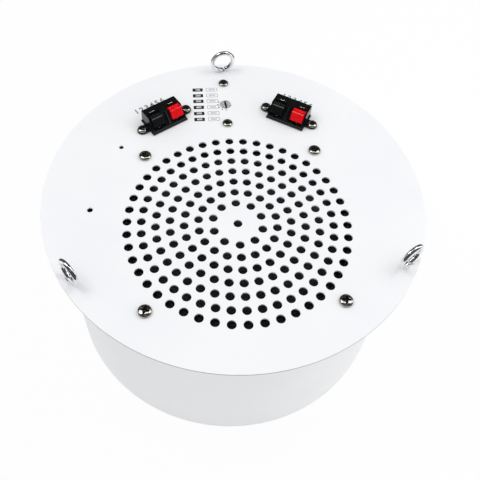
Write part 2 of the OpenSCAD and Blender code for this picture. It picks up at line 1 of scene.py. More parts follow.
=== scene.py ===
"""Looks of the ceiling loudspeaker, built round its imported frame.

Sizes are in millimetres until a mesh is made. Every mesh is in metres, in the frame's own axes: +Z up,
+Y towards the rear eyebolt, and the origin at the middle of the can's base.
"""
import logging
import math
from dataclasses import dataclass, field
from enum import Enum
from functools import cache, partial

import bmesh
import bpy
from bmesh.types import BMesh
from bpy.types import ID, Material, Mesh, Node, NodeSocket, NodeTree, Object
from mathutils import Matrix, Vector

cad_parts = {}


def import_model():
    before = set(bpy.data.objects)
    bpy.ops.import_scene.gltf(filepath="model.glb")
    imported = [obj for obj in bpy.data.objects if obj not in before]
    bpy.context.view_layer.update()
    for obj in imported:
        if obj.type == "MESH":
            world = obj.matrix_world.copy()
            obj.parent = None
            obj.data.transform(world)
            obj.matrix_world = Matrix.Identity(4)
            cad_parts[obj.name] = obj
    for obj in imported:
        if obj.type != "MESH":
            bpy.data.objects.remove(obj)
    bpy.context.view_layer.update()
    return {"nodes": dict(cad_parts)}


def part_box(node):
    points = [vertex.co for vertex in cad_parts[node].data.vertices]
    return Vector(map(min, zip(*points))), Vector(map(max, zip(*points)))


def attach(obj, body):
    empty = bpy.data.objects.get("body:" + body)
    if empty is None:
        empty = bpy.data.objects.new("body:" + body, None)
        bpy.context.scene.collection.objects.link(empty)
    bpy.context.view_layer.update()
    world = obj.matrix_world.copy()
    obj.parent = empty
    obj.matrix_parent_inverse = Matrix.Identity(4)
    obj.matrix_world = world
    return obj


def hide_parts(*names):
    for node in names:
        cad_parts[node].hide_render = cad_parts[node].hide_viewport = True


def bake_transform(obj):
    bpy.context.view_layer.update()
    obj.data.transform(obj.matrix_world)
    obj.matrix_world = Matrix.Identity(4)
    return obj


MM = 0.001
INK = 0.03  # Thickness of the printed inks, in millimetres
WAVE_PERIOD = math.tau / 20  # Length of one wave of Blender's wave texture at a scale of 1
WELD = 2e-6  # Points of one mesh closer than this, in metres, are the same point
QUARTER = math.pi / 2
DRIVER_OFFSET = 29.85  # How far the driver and the grille lie in front of the plate's middle
CARD_GREY = "#4C4C4C"
EYE_CIRCLE = 278.4  # Diameter of the circle that the eyebolts stand on
EYE_DIRECTIONS = {"rear": 90, "left": 210, "right": 330}
TAP_Y = 94.8  # Where the tap selector stands
LOG = logging.getLogger("loudspeaker")
Points = list[tuple[float, float]]
Triple = tuple[float, float, float]


class Body(Enum):
    """Moving bodies of the frame that pieces made here ride on."""

    SPEAKER = "speaker"
    CONE = "cone_unit"
    TAP = "tap_rotor"


class Named(Enum):
    """Choices whose names stand in the names of nodes, bodies and slots."""

    @property
    def word(self) -> str:
        """The choice's name in lower case."""
        return self.name.lower()


class Side(Named):
    """The two push terminals, and which way each lies from the middle."""

    LEFT = -1
    RIGHT = 1


class Tint(Named):
    """The two levers of a push terminal, and which way each lies from the terminal's middle."""

    BLACK = -1
    RED = 1


class Relief(Enum):
    """Regular relief of a surface, as the kind and axis of the waves that make it."""

    NONE = ()
    RINGS = (("RINGS", "Z"),)
    BANDS_X = (("BANDS", "X"),)
    BANDS_Z = (("BANDS", "Z"),)
    WEAVE = (("BANDS", "X"), ("BANDS", "Y"))


def linear(shade: str) -> tuple[float, float, float, float]:
    """Turns an sRGB colour into linear light.

    Args:
        shade: The colour as #RRGGBB.

    Returns:
        Red, green, blue and an opacity of 1.
    """
    parts = [int(shade[i:i + 2], 16) / 255 for i in (1, 3, 5)]
    red, green, blue = (p / 12.92 if p <= 0.04045 else ((p + 0.055) / 1.055) ** 2.4 for p in parts)
    return red, green, blue, 1.0


def add(tree: NodeTree, kind: str, inputs: dict | None = None, **settings: object) -> Node:
    """Adds a node, with its settings, values and links.

    Args:
        tree: The tree that the node goes into.
        kind: The node's type.
        inputs: By an input's name or number, its value, the socket or node that it is linked to, or a list of
            them. A node stands for its first output.
        **settings: The node's own properties.

    Returns:
        The new node.
    """
    node = tree.nodes.new(kind)
    for name, value in settings.items():
        setattr(node, name, value)
    for key, value in (inputs or {}).items():
        for one in value if isinstance(value, list) else [value]:
            one = one.outputs[0] if isinstance(one, Node) else one
            if isinstance(one, NodeSocket):
                tree.links.new(one, node.inputs[key])
            else:
                node.inputs[key].default_value = one
    return node


def empty_tree(owner: ID) -> NodeTree:
    """A material's or world's node tree, with nothing in it."""
    owner.use_nodes = True
    owner.node_tree.nodes.clear()
    return owner.node_tree


def polar(radius: float, angle: float) -> tuple[float, float]:
    """The x and y of a point at a radius and an angle in degrees."""
    return radius * math.cos(math.radians(angle)), radius * math.sin(math.radians(angle))


def arc(centre: tuple[float, float], radius: float, first: float, last: float, steps: int) -> Points:
    """Points along an arc.

    Args:
        centre: The arc's centre.
        radius: Its radius.
        first: Angle of the first point, in degrees.
        last: Angle of the last point, in degrees.
        steps: Steps between them.

    Returns:
        The points, in the units given.
    """
    spots = [polar(radius, first + (last - first) * i / steps) for i in range(steps + 1)]
    return [(centre[0] + x, centre[1] + y) for x, y in spots]


def new_object(name: str, data: ID) -> Object:
    """Links a mesh, text, lamp or camera to the scene, at the origin."""
    item = bpy.data.objects.new(name, data)
    bpy.context.scene.collection.objects.link(item)
    return item


def mend(shape: BMesh) -> None:
    """Welds a shape's points and turns its faces outwards."""
    bmesh.ops.remove_doubles(shape, verts=shape.verts, dist=WELD)
    bmesh.ops.recalc_face_normals(shape, faces=shape.faces)


def from_bmesh(name: str, shape: BMesh, sharp: float = 35.0, clean: bool = True) -> Object:
    """Makes an object of a bmesh, smooth between sharp edges.

    Args:
        name: The piece's name.
        shape: Its shape in metres. It is freed.
        sharp: Edges that turn by more than this, in degrees, stay sharp.
        clean: Whether it is mended first.

    Returns:
        The new object.
    """
    if clean:
        mend(shape)
    mesh = bpy.data.meshes.new(name)
    shape.to_mesh(mesh)
    shape.free()
    mesh.shade_smooth()
    mesh.set_sharp_from_angle(angle=math.radians(sharp))
    return new_object(name, mesh)


def baked(item: Object, layers: bool = False) -> Mesh:
    """Makes a plain mesh of an object.

    Args:
        item: The object, with its modifiers.
        layers: Whether every data layer is kept.

    Returns:
        The mesh, with the modifiers in it.
    """
    graph = bpy.context.evaluated_depsgraph_get()
    options = {"preserve_all_data_layers": True, "depsgraph": graph} if layers else {}
    return bpy.data.meshes.new_from_object(item.evaluated_get(graph), **options)


def revolve(profile: Points, steps: int, centre: Vector, sweep: float = math.tau,
            start: float = 0.0) -> BMesh:
    """Turns a closed outline of radius and height about a vertical axis.

    Args:
        profile: The outline's points in millimetres, in order.
        steps: Steps round the sweep.
        centre: A point on the axis, in metres; heights are measured from it.
        sweep: The angle turned, in radians.
        start: The angle at which it starts, in radians.

    Returns:
        A closed shape in metres. A part turn has flat ends.
    """
    shape = bmesh.new()
    whole = sweep == math.tau
    rings = []
    for i in range(steps if whole else steps + 1):
        angle = start + sweep * i / steps
        across = Vector((math.cos(angle), math.sin(angle), 0))
        rings.append([shape.verts.new(centre + across * r * MM + Vector((0, 0, z * MM))) for r, z in profile])
    count = len(profile)
    for i in range(steps):
        here, there = rings[i], rings[(i + 1) % len(rings)]
        for j in range(count):
            k = (j + 1) % count
            if profile[j][0] > 0 or profile[k][0] > 0:
                shape.faces.new((here[j], there[j], there[k], here[k]))
    if not whole:
        shape.faces.new(rings[0])
        shape.faces.new(rings[-1])
    return shape


@dataclass(frozen=True)
class Finish:
    """A surface finish, in a few cases with painted shade. Lengths are in millimetres, colours are sRGB.

    The colour drifts between two shades over mottle, the roughness and a fine relief follow grain, and an
    optional regular relief has the given pitch.
    """

    name: str
    shade: str
    second: str
    roughness: float
    mottle: float
    grain: float
    metallic: float = 0.0
    ior: float = 1.5
    grain_height: float = 0.004
    spread: float = 0.04
    relief: Relief = Relief.NONE
    pitch: float = 1.0
    height: float = 0.0
    centre: Triple = (0.0, 0.0, 0.0)

    def pattern(self, tree: NodeTree, place: Node) -> NodeSocket | None:
        """Adds the regular relief.

        Args:
            tree: The material's tree.
            place: Coordinates of the surface.

        Returns:
            Its height from 0 to 1, or None where the finish has no regular relief.
        """
        waves = [add(tree, "ShaderNodeTexWave", {"Vector": place, "Scale": WAVE_PERIOD / (self.pitch * MM)},
                     **{"wave_type": kind, f"{kind.lower()}_direction": axis}).outputs["Fac"]
                 for kind, axis in self.relief.value]
        if len(waves) < 2:
            return waves[0] if waves else None
        return add(tree, "ShaderNodeMath", {0: waves[0], 1: waves[1]}, operation="MAXIMUM").outputs[0]

    def build(self) -> Material:
        """Builds the material.

        Returns:
            A material with its colour, roughness and relief from nodes.
        """
        material = bpy.data.materials.new(self.name)
        tree = empty_tree(material)
        put = partial(add, tree)
        coordinates = put("ShaderNodeTexCoord").outputs["Object"]
        shift = tuple(-c * MM for c in self.centre)
        place = put("ShaderNodeMapping", {"Vector": coordinates, "Location": shift})
        drift, grain = (put("ShaderNodeTexNoise", {"Vector": place, "Scale": 1 / (size * MM),
                                                   "Detail": detail}).outputs["Fac"]
                        for size, detail in ((self.mottle, 3.0), (self.grain, 2.0)))
        share = put("ShaderNodeMapRange", {"Value": drift, "From Min": 0.35, "From Max": 0.65})
        colour = put("ShaderNodeMix", {0: share, 6: linear(self.shade), 7: linear(self.second)},
                     data_type="RGBA").outputs[2]
        rough = put("ShaderNodeMapRange", {"Value": grain, "From Min": 0.3, "From Max": 0.7,
                                           "To Min": self.roughness - self.spread,
                                           "To Max": self.roughness + self.spread})
        shape = {"Height": grain, "Distance": self.grain_height * MM}
        regular = self.pattern(tree, place)
        if regular is not None:
            shape["Normal"] = put("ShaderNodeBump", {"Height": regular, "Distance": self.height * MM})
        shader = put("ShaderNodeBsdfPrincipled",
                     {"Base Color": colour, "Metallic": self.metallic, "Roughness": rough, "IOR": self.ior,
                      "Normal": put("ShaderNodeBump", shape)})
        put("ShaderNodeOutputMaterial", {"Surface": shader})
        return material


DRIVER_AXIS = (0.0, -DRIVER_OFFSET, 0.0)
# One finish for each material slot of the record, and a few for parts of a piece
FINISHES = {
    # Baked powder coat: a bright cool white with a faint orange-peel
    "white_enamel": Finish("powder_coat_white", "#F9FAFC", "#F5F7FA", 0.42, 60, 1.6, grain_height=0.006,
                           spread=0.03),
    # The plate's sheared rim: thin coat over grey steel, darkened more as painted shade under the edge
    "sheared_edge": Finish("powder_coat_thin_edge", "#C6C8C9", "#B9BBBC", 0.5, 8, 0.8),
    # Chrome over nickel on bent wire: a mirror with faint drawing marks
    "bright_plate": Finish("chrome_plate_bright", "#F2F3F4", "#E2E4E6", 0.06, 5, 0.6, 1.0,
                           grain_height=0.002, spread=0.03),
    # Nickel plate on cold-headed screws: warm grey, slightly hazy
    "screw_nickel": Finish("nickel_plate_screw", "#C2C0B8", "#9A9890", 0.15, 2.5, 0.4, 1.0,
                           grain_height=0.003, spread=0.05),
    # The cross punched in their heads: near-black painted shade, for the shade deep in the recess
    "punched_cross": Finish("steel_burnished_dark", "#23221F", "#171614", 0.35, 1, 0.3, 0.6),
    # Turned and tumbled shaft end: pale, frosted by fine pits, so it stays light from every side
    "shaft_end": Finish("nickel_plate_tumbled", "#EDECE9", "#A3A29E", 0.55, 1.4, 0.5, 0.5,
                        grain_height=0.05, spread=0.12),
    # The slot sawn in it: near-black painted shade for the shade deep in the slot
    "sawn_slot_painted_shade": Finish("brass_oxidised", "#1D1B18", "#100F0E", 0.6, 1, 0.3, 0.3),
    # Black electro-coat on the basket: satin, even
    "frame_paint": Finish("electro_coat_black", "#1B1C1E", "#141516", 0.4, 25, 0.8),
    # Foam gasket: matt, open cells
    "gasket_foam": Finish("foam_gasket_black", "#232425", "#151516", 0.9, 4, 0.7, grain_height=0.12,
                          spread=0.05),
    # Zinc plate on turned motor steel: bluish, fine turning rings
    "motor_steel": Finish("zinc_plate_turned", "#B7BCC2", "#A3A9B0", 0.3, 14, 0.5, 1.0,
                          relief=Relief.RINGS, pitch=0.6, height=0.004, centre=DRIVER_AXIS),
    # Sintered ferrite: dark grey, slightly speckled
    "ferrite": Finish("ferrite_sintered", "#3A3B3D", "#2B2C2E", 0.55, 3, 0.5, grain_height=0.02),
    # Treated paper pulp: near black, matt, with pressed ribs 4.6 mm apart
    "cone_paper": Finish("paper_pulp_black", "#303336", "#1D1F20", 0.6, 6, 0.5, grain_height=0.05,
                         relief=Relief.RINGS, pitch=4.6, height=0.25, centre=DRIVER_AXIS),
    # Doped cloth of the surround: black, woven, slightly shiny
    "pleated_cloth": Finish("doped_cloth_black", "#1C1D1F", "#121213", 0.5, 5, 0.4, relief=Relief.WEAVE,
                            pitch=0.5, height=0.06),
    # Resin-stiffened cotton of the spider: tan weave
    "spider_cloth": Finish("cotton_resin_tan", "#B98B45", "#A77A38", 0.75, 5, 0.4, relief=Relief.WEAVE,
                           pitch=0.5, height=0.08),
    # Kraft paper of the former: light brown, matt
    "former_paper": Finish("kraft_paper", "#C7A876", "#B39460", 0.7, 4, 0.4),
    # Enamelled copper wire: turns 0.3 mm apart, drawn at 0.5 mm so that they show
    "copper_wire": Finish("copper_wire_enamelled", "#B4602F", "#96491F", 0.28, 6, 0.4, 1.0,
                          relief=Relief.BANDS_Z, pitch=0.5, height=0.12),
    # Phenolic paper board: brown, satin
    "phenolic": Finish("phenolic_paper_board", "#7A4A25", "#6B3F1E", 0.45, 5, 0.5),
    # Tin plate on brass: pale, soft reflections
    "tinned_brass": Finish("tin_plate_on_brass", "#DEDDD6", "#C5C3BA", 0.22, 2, 0.4, 1.0, spread=0.06),
    # Varnished silicon steel: the edges of 0.5 mm sheets show as lines
    "lamination_steel": Finish("silicon_steel_varnished", "#6E6F74", "#55565B", 0.45, 6, 0.5, 0.8,
                               relief=Relief.BANDS_X, pitch=0.5, height=0.08),
    # Moulded nylon: ivory, waxy
    "bobbin_nylon": Finish("nylon_moulded", "#E9E2CF", "#DFD6BF", 0.4, 8, 0.6, ior=1.53),
    # Zinc plate on folded sheet: spangled grey
    "bracket_zinc": Finish("zinc_plate_sheet", "#C3C6C8", "#ABAFB2", 0.32, 6, 0.8, 1.0),
    # Moulded phenolic of the switch: dark green, satin
    "switch_resin": Finish("phenolic_moulded_green", "#25402F", "#1D3426", 0.4, 5, 0.4),
    # Injection-moulded ABS, polished tool: deep gloss black
    "black_abs": Finish("abs_moulded_black", "#0E1113", "#090B0C", 0.17, 6, 0.45, ior=1.54),
    # The same ABS in signal red
    "red_abs": Finish("abs_moulded_red", "#EC0010", "#DC000B", 0.18, 6, 0.45, ior=1.48, spread=0.05),
    # Screen-printed inks: thin, matt
    "ink_black": Finish("screen_ink_black", "#0B0C0D", "#131415", 0.55, 3, 0.3),
    "ink_dark": Finish("screen_ink_dark_grey", "#3A3D3F", "#454849", 0.55, 3, 0.3),
    "ink_grey": Finish("screen_ink_grey", "#94979A", "#A2A5A7", 0.55, 3, 0.3),
    "ink_white": Finish("screen_ink_white", "#FAFBFC", "#F2F4F5", 0.5, 3, 0.3),
}


@cache
def paint(key: str) -> Material:
    """The material of a finish, by its name in FINISHES, built when it is first asked for."""
    return FINISHES[key].build()


class Recipe:
    """A Geometry Nodes tree that a piece's mesh is grown from.

    Each takes a geometry, the inputs that it names by kind, and a finish.
    """

    title = ""
    inputs: dict[str, str] = {}

    def __init__(self) -> None:
        """Builds the tree."""
        self.tree = bpy.data.node_groups.new(self.title, "GeometryNodeTree")
        self.put = partial(add, self.tree)
        sockets = self.tree.interface
        for way in ("INPUT", "OUTPUT"):
            sockets.new_socket("Geometry", in_out=way, socket_type="NodeSocketGeometry")
        self.identifiers = {
            name: sockets.new_socket(name, in_out="INPUT", socket_type=f"NodeSocket{kind}").identifier
            for name, kind in {**self.inputs, "Finish": "Material"}.items()}
        self.given = self.put("NodeGroupInput").outputs
        self.lay_out()

    def lay_out(self) -> None:
        """Adds the tree's nodes, up to close()."""
        raise NotImplementedError

    def close(self, shape: Node) -> None:
        """Ends the tree with real geometry in its finish."""
        real = self.put("GeometryNodeRealizeInstances", {"Geometry": shape})
        dressed = self.put("GeometryNodeSetMaterial", {"Geometry": real, "Material": self.given["Finish"]})
        self.put("NodeGroupOutput", {"Geometry": dressed})

    def grow(self, seed: Object, values: dict) -> Object:
        """Runs the tree on an object and keeps the result as its plain mesh.

        Args:
            seed: The object that the tree starts from.
            values: The tree's inputs by name.

        Returns:
            The same object, with its new mesh and no modifier.
        """
        modifier = seed.modifiers.new(self.title, "NODES")
        modifier.node_group = self.tree
        for name, value in values.items():
            modifier[self.identifiers[name]] = value
        seed.data = baked(seed)
        seed.data.name = seed.name
        seed.modifiers.clear()
        seed.data.materials.clear()
        seed.data.materials.append(values["Finish"])
        seed.data.polygons.foreach_set("material_index", [0] * len(seed.data.polygons))
        return seed


class Scatter(Recipe):
    """Sets a copy of a fitting on each point of a mesh, each turned a little by chance."""

    title = "Scatter fittings"
    inputs = {"Fitting": "Object", "Loose Turn": "Float", "Seed": "Int"}

    def lay_out(self) -> None:
        """Adds the tree's nodes."""
        put, given = self.put, self.given
        fitting = put("GeometryNodeObjectInfo", {"Object": given["Fitting"]}).outputs["Geometry"]
        turn = put("FunctionNodeRandomValue", {2: 0.0, 3: given["Loose Turn"], "Seed": given["Seed"]},
                   data_type="FLOAT").outputs[1]
        euler = put("ShaderNodeCombineXYZ", {"Z": turn})
        self.close(put("GeometryNodeInstanceOnPoints",
                       {"Points": given["Geometry"], "Instance": fitting, "Rotation": euler}))

    def spread(self, name: str, fitting: Object, places: list[Vector],
               finish: Material, loose_turn: float = 0.0, seed: int = 1) -> Object:
        """Copies a fitting to several places as one piece.

        Args:
            name: The piece's name.
            fitting: The fitting, modelled at the origin. It is removed from the scene.
            places: Where the copies go, in metres.
            finish: The material of them all.
            loose_turn: The most that each copy is turned, at random, in degrees.
            seed: The seed of that turn.

        Returns:
            The piece.
        """
        mesh = bpy.data.meshes.new(name)
        mesh.from_pydata(places, [], [])
        piece = self.grow(new_object(name, mesh), {"Fitting": fitting, "Loose Turn": math.radians(loose_turn),
                                                   "Seed": seed, "Finish": finish})
        bpy.data.objects.remove(fitting)
        return piece


class BentWire(Recipe):
    """Sweeps a round wire along the edges of a mesh, with closed ends."""

    title = "Bent wire"
    inputs = {"Wire Diameter": "Float", "Wire Facets": "Int"}

    def lay_out(self) -> None:
        """Adds the tree's nodes."""
        put, given = self.put, self.given
        path = put("GeometryNodeMeshToCurve", {"Mesh": given["Geometry"]})
        radius = put("ShaderNodeMath", {0: given["Wire Diameter"], 1: 0.5}, operation="MULTIPLY")
        section = put("GeometryNodeCurvePrimitiveCircle",
                      {"Resolution": given["Wire Facets"], "Radius": radius})
        self.close(put("GeometryNodeCurveToMesh",
                       {"Curve": path, "Profile Curve": section, "Fill Caps": True}))


class PunchedSheet(Recipe):
    """A round sheet with a hole at each point of a mesh, and softened lips at every edge."""

    title = "Punched sheet"
    inputs = {"Sheet Radius": "Float", "Thickness": "Float", "Lip Radius": "Float", "Level": "Float",
              "Window Length": "Float", "Window Width": "Float", "Hole Facets": "Int", "Rim Facets": "Int",
              "Lip Steps": "Int"}

    def shifted(self, shape: Node, **by: object) -> Node:
        """A shape moved by a value or socket along each axis named."""
        offset = self.put("ShaderNodeCombineXYZ", by)
        return self.put("GeometryNodeTransform", {"Geometry": shape, "Translation": offset})

    def lip(self, outward: int) -> Node:
        """Adds the section of an edge: a quarter round, the cut wall and another quarter round.

        Args:
            outward: 1 where the metal ends on the outer side of the swept circle, -1 on its inner side.

        Returns:
            The section's curves, with depth along Y.
        """
        put, given = self.put, self.given
        radius = given["Lip Radius"]
        depth = put("ShaderNodeMath", {0: given["Thickness"], 1: radius}, operation="SUBTRACT")
        reach = put("ShaderNodeMath", {0: radius, 1: float(outward)}, operation="MULTIPLY")
        parts = [self.shifted(put("GeometryNodeCurveArc",
                                  {"Resolution": given["Lip Steps"], "Radius": radius, "Start Angle": first,
                                   "Sweep Angle": outward * QUARTER}), Y=level)
                 for level, first in ((radius, -QUARTER), (depth, 0.0 if outward > 0 else math.pi))]
        top, bottom = (put("ShaderNodeCombineXYZ", {"X": reach, "Y": level}) for level in (radius, depth))
        parts.append(put("GeometryNodeCurvePrimitiveLine", {"Start": top, "End": bottom}))
        return put("GeometryNodeJoinGeometry", {"Geometry": parts})

    def outlines(self) -> Node:
        """Adds the outline of each hole and window, wider than the opening by the lip.

        Returns:
            The outlines as closed curves at height 0.
        """
        put, given = self.put, self.given
        columns = (("radius", "FLOAT"), ("turn", "FLOAT"), ("window", "BOOLEAN"))
        size, turn, square = (put("GeometryNodeInputNamedAttribute", {"Name": name}, data_type=kind)
                              for name, kind in columns)
        reach = put("ShaderNodeMath", {0: size, 1: given["Lip Radius"]}, operation="ADD")
        circle = put("GeometryNodeCurvePrimitiveCircle", {"Resolution": given["Hole Facets"], "Radius": 1.0})
        holes = put("GeometryNodeInstanceOnPoints",
                    {"Points": given["Geometry"], "Instance": circle,
                     "Selection": put("FunctionNodeBooleanMath", {0: square}, operation="NOT"),
                     "Scale": put("ShaderNodeCombineXYZ", {"X": reach, "Y": reach, "Z": 1.0})})
        both_lips = put("ShaderNodeMath", {0: given["Lip Radius"], 1: 2.0}, operation="MULTIPLY")
        length, width = (put("ShaderNodeMath", {0: given[f"Window {way}"], 1: both_lips}, operation="ADD")
                         for way in ("Length", "Width"))
        window = put("GeometryNodeCurvePrimitiveQuadrilateral", {"Width": length, "Height": width})
        windows = put("GeometryNodeInstanceOnPoints",
                      {"Points": given["Geometry"], "Instance": window, "Selection": square,
                       "Rotation": put("ShaderNodeCombineXYZ", {"Z": turn})})
        both = put("GeometryNodeJoinGeometry", {"Geometry": [holes, windows]})
        return put("GeometryNodeRealizeInstances", {"Geometry": both})

    def swept(self, path: Node, outward: int) -> Node:
        """Sweeps the edge's section along outlines.

        Args:
            path: The outlines.
            outward: As in lip().

        Returns:
            The lips and walls of those outlines, shaded smooth.
        """
        level = self.put("GeometryNodeSetCurveNormal", {"Curve": path})
        mesh = self.put("GeometryNodeCurveToMesh", {"Curve": level, "Profile Curve": self.lip(outward)})
        return self.put("GeometryNodeSetShadeSmooth", {"Geometry": mesh, "Shade Smooth": True})

    def lay_out(self) -> None:
        """Adds the tree's nodes."""
        put, given = self.put, self.given
        openings = self.outlines()
        radius = put("ShaderNodeMath", {0: given["Sheet Radius"], 1: given["Lip Radius"]},
                     operation="SUBTRACT")
        rim = put("GeometryNodeCurvePrimitiveCircle", {"Resolution": given["Rim Facets"], "Radius": radius})
        bounds = put("GeometryNodeJoinGeometry", {"Geometry": [openings, rim]})
        face = put("GeometryNodeFillCurve", {"Curve": bounds})
        flat = put("GeometryNodeSetShadeSmooth", {"Geometry": face, "Shade Smooth": False})
        down = put("ShaderNodeMath", {0: given["Thickness"], 1: -1.0}, operation="MULTIPLY")
        parts = [flat, self.shifted(flat, Z=down), self.swept(openings, -1), self.swept(rim, 1)]
        whole = put("GeometryNodeJoinGeometry", {"Geometry": parts})
        self.close(self.shifted(whole, Z=given["Level"]))


@dataclass
class Workshop:
    """What every sub-assembly works with: the frame's nodes and the growing recipes."""

    nodes: dict
    scatter: Scatter = field(default_factory=Scatter)
    bent_wire: BentWire = field(default_factory=BentWire)
    punched: PunchedSheet = field(default_factory=PunchedSheet)
    flat_angle: float = 0.5
    sharp_angle: float = 38.0
    edge_steps: int = 2
    bold: float = 0.02
    curve_steps: int = 3

    @property
    def plate_top(self) -> float:
        """Level of the plate's upper face, in metres."""
        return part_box("front_plate")[1].z

    def hand_over(self, piece: Object, slot: str, *nodes: str, body: str = Body.SPEAKER.value) -> None:
        """Gives a piece its body and its slot's finish if it has none, and hides the nodes it stands for.

        Args:
            piece: The finished piece.
            slot: The record's material slot, or an ink, which has none.
            *nodes: CAD nodes that it replaces.
            body: The body that it rides on.
        """
        if not piece.data.materials:
            piece.data.materials.append(paint(slot))
        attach(piece, body)
        if nodes:
            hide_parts(*nodes)
        LOG.info("%s: %d faces on %s", piece.name, len(piece.data.polygons), body)

    def soften(self, node: str, name: str, width: float) -> Object:
        """Copies a CAD node and rounds its sharp edges.

        Args:
            node: The node.
            name: The copy's name.
            width: Width of the rounding, in millimetres.

        Returns:
            The copy.
        """
        shape = bmesh.new()
        shape.from_mesh(self.nodes[node].data)
        bmesh.ops.remove_doubles(shape, verts=shape.verts, dist=WELD)
        bmesh.ops.dissolve_limit(shape, angle_limit=math.radians(self.flat_angle), verts=shape.verts,
                                 edges=shape.edges)
        mesh = bpy.data.meshes.new(name)
        shape.to_mesh(mesh)
        shape.free()
        mesh.shade_smooth()
        piece = new_object(name, mesh)
        bevel = piece.modifiers.new("Rounding", "BEVEL")
        bevel.width, bevel.segments = width * MM, self.edge_steps
        bevel.limit_method, bevel.angle_limit = "ANGLE", math.radians(self.sharp_angle)
        level = piece.modifiers.new("Level faces", "WEIGHTED_NORMAL")
        level.mode, level.weight = "FACE_AREA", 100
        piece.data = baked(piece, layers=True)
        piece.modifiers.clear()
        return piece

    def print_figures(self, name: str, words: list[tuple[str, Matrix]], size: float, ink: str,
                      stroke: float = 0.0) -> None:
        """Prints plain numbers.

        Args:
            name: The piece's name.
            words: Each number with the matrix that places it.
            size: Height of the type, in millimetres.
            ink: The ink's finish.
            stroke: Width of the line where the figures are only outlines, in millimetres, or 0.
        """
        shape = bmesh.new()
        for word, place in words:
            text = bpy.data.curves.new("figure", "FONT")
            text.body, text.size, text.align_x, text.align_y = word, size * MM, "CENTER", "CENTER"
            text.resolution_u = self.curve_steps
            if stroke:
                text.fill_mode, text.bevel_depth, text.bevel_resolution = "NONE", stroke * MM / 2, 0
            else:
                text.extrude, text.offset = INK * MM / 2, self.bold * size * MM
            letter = new_object("figure", text)
            mesh = baked(letter)
            mesh.transform(place @ Matrix.Diagonal((1, 1, INK / stroke if stroke else 1, 1)))
            shape.from_mesh(mesh)
            bpy.data.objects.remove(letter)
        self.hand_over(from_bmesh(name, shape), ink)


@dataclass
class Assembly:
    """A sub-assembly, with the workshop that makes it."""

    shop: Workshop

    def make(self) -> None:
        """Makes the pieces and hands them over."""
        raise NotImplementedError


@dataclass
class GrillePlate(Assembly):
    """The perforated front plate, with a softened lip at each edge."""

    lip: float = 0.12
    sheared_depth: float = 0.06
    hole_d: float = 6.7
    first_ring: float = 18.9
    ring_pitch: float = 10.51
    ring_holes: tuple[int, ...] = (10, 18, 24, 30, 36, 42, 46)
    driver_circle: float = 193.7
    driver_hole_d: float = 5.3
    eyebolt_hole_d: float = 4.5
    trafo_screw_y: tuple[float, float] = (72.0, 120.5)
    trafo_hole_d: float = 4.7
    tap_hole_d: float = 9.8
    spare_holes: tuple[Triple, ...] = ((110.05, 186.3, 4.4), (100.7, 150.6, 3.8))
    window: tuple[float, float] = (27.6, 17.0)
    hole_facets: int = 28
    rim_facets: int = 360
    lip_steps: int = 4

    @classmethod
    def driver_screws(cls) -> Points:
        """The x and y of the four driver screws."""
        spots = [polar(cls.driver_circle / 2, angle) for angle in (45, 135, 225, 315)]
        return [(x, y - DRIVER_OFFSET) for x, y in spots]

    def openings(self) -> list[tuple[float, float, float, float]]:
        """The plate's openings.

        Returns:
            x, y, diameter and turn in degrees of each; a diameter of 0 is a terminal's window.
        """
        found = [(0.0, -DRIVER_OFFSET, self.hole_d, 0.0)]
        for ring, count in enumerate(self.ring_holes):
            radius = self.first_ring + ring * self.ring_pitch
            for i in range(count):
                angle = math.tau * i / count
                found.append((-radius * math.sin(angle), radius * math.cos(angle) - DRIVER_OFFSET,
                              self.hole_d, 0.0))
        found += [(x, y, self.driver_hole_d, 0.0) for x, y in self.driver_screws()]
        found += [(*polar(EYE_CIRCLE / 2, angle), self.eyebolt_hole_d, 0.0)
                  for angle in EYE_DIRECTIONS.values()]
        found += [(0.0, y, self.trafo_hole_d, 0.0) for y in self.trafo_screw_y]
        found.append((0.0, TAP_Y, self.tap_hole_d, 0.0))
        found += [(*polar(radius, angle), size, 0.0) for radius, angle, size in self.spare_holes]
        found += [(side.value * PushTerminal.x, PushTerminal.y, 0.0, -side.value * PushTerminal.turn)
                  for side in Side]
        return found

    def make(self) -> None:
        """Grows the plate and gives its sheared rim a second finish: a thin coat, darkened as painted shade.
        """
        openings = self.openings()
        mesh = bpy.data.meshes.new("grille_plate")
        mesh.from_pydata([(x * MM, y * MM, 0) for x, y, _, _ in openings], [], [])
        columns = {"radius": ("FLOAT", [d * MM / 2 for _, _, d, _ in openings]),
                   "turn": ("FLOAT", [math.radians(t) for _, _, _, t in openings]),
                   "window": ("BOOLEAN", [d == 0 for _, _, d, _ in openings])}
        for name, (kind, values) in columns.items():
            mesh.attributes.new(name, kind, "POINT").data.foreach_set("value", values)
        low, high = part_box("front_plate")
        plate = self.shop.punched.grow(new_object("grille_plate", mesh), {
            "Sheet Radius": (high.x - low.x) / 2, "Thickness": high.z - low.z, "Lip Radius": self.lip * MM,
            "Level": high.z, "Window Length": self.window[0] * MM, "Window Width": self.window[1] * MM,
            "Hole Facets": self.hole_facets, "Rim Facets": self.rim_facets, "Lip Steps": self.lip_steps,
            "Finish": paint("white_enamel")})
        shape = bmesh.new()
        shape.from_mesh(plate.data)
        mend(shape)
        # Faces at the rim get the second finish: a thin coat, with painted shade along the edge
        for face in shape.faces:
            face.material_index = int(face.calc_center_median().xy.length > high.x - self.sheared_depth * MM)
        plate.data.materials.append(paint("sheared_edge"))
        shape.to_mesh(plate.data)
        shape.free()
        self.shop.hand_over(plate, "white_enamel", "front_plate")


